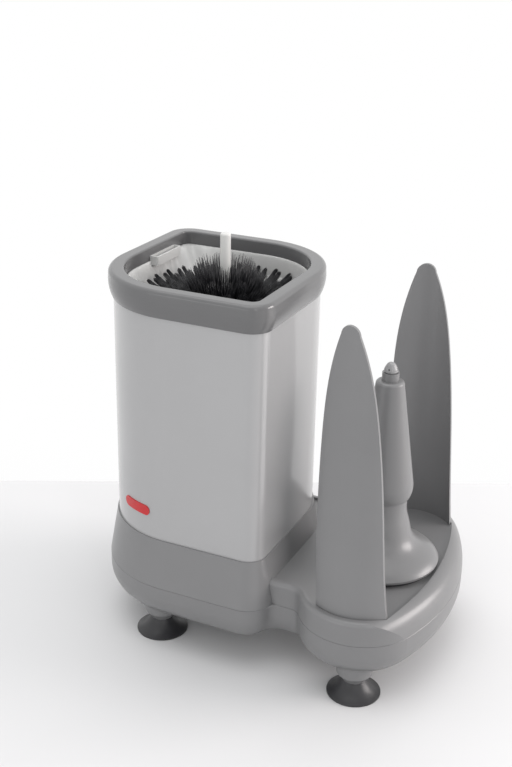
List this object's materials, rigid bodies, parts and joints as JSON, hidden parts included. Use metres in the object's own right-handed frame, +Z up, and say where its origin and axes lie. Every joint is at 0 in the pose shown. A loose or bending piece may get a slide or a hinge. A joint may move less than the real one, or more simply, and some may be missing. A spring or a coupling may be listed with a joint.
{
  "type": "glass washer machine",
  "caption": "Water-driven glass washer: a brush tower and a pressed-down rinsing jet between two curved fins on one suction-footed base.",
  "frame": {"origin": "on the worktop under the suction cups, at the middle of the footprint", "axes": "+Z up; +X from the brush tower to the rinser; the operator stands at -Y"},
  "size_m": [0.3132, 0.22, 0.35],
  "materials": {
    "black_bristle": "black nylon bristle",
    "black_plastic": "black glass-filled nylon",
    "bronze": "brass or sintered bronze",
    "clear_pipe": "natural polypropylene pipe",
    "dark_rubber": "dark grey rubber",
    "grey_abs": "moulded grey ABS with a soft gloss",
    "light_plastic": "light grey moulded plastic",
    "red_enamel": "red enamel",
    "silver_paint": "sheet metal in glossy light silver-grey paint",
    "stainless": "stainless steel",
    "white_plastic": "white acetal"
  },
  "bodies": {
    "housing": {"badge": "red_enamel", "base_screws": "stainless", "column_gasket": "dark_rubber", "detergent_cup": "light_plastic", "drain_pipe": "black_plastic", "drive_screws": "stainless", "feed_pipe": "clear_pipe", "foot_stems": "grey_abs", "front_fin": "grey_abs", "gearbox_housing": "black_plastic", "inlet_connector": "bronze", "inlet_strainer": "stainless", "lower_base_shell": "grey_abs", "lower_bush": "bronze", "nozzle_column": "grey_abs", "rear_fin": "grey_abs", "rinse_pipe": "clear_pipe", "rinse_spring": "stainless", "rinse_valve": "black_plastic", "shaft_seal": "dark_rubber", "splash_ring": "light_plastic", "suction_cups": "dark_rubber", "supply_pipe": "clear_pipe", "tower_casing": "silver_paint", "tower_rim": "grey_abs", "turbine_gasket": "dark_rubber", "turbine_housing": "black_plastic", "turbine_lower_bush": "bronze", "turbine_screws": "stainless", "turbine_upper_bush": "bronze", "upper_base_shell": "grey_abs", "upper_bush": "bronze", "wash_tub": "light_plastic", "water_manifold": "black_plastic"},
    "brush": {"brush_hub": "black_plastic", "brush_shaft": "stainless", "brush_gear": "white_plastic", "outer_tufts": "black_bristle", "inner_tufts": "black_bristle", "centre_post": "white_plastic"},
    "turbine": {"turbine_wheel": "white_plastic", "turbine_shaft": "stainless", "turbine_pinion": "white_plastic"},
    "rinse_head": {"rinse_sleeve": "grey_abs", "collar_ring": "grey_abs", "jet_tip": "light_plastic", "plunger": "stainless"}
  },
  "joints": [
    {"name": "brush_spin", "type": "hinge", "parent": "housing", "child": "brush", "pos_m": [-0.0634, 0.0019, 0.262], "axis": [0, 0, 1], "continuous": true},
    {"name": "turbine_spin", "type": "hinge", "parent": "housing", "child": "turbine", "pos_m": [-0.0284, 0.0019, 0.125], "axis": [0, 0, 1], "continuous": true},
    {"name": "rinse_press", "type": "slide", "parent": "housing", "child": "rinse_head", "axis": [0, 0, -1], "range_m": [0, 0.006], "stiffness_N_per_m": 500, "springref_m": -0.004, "deforming": ["rinse_spring"]}
  ],
  "couplings": [
    {"joint": "turbine_spin", "follows": "brush_spin", "ratio": -4}
  ]
}
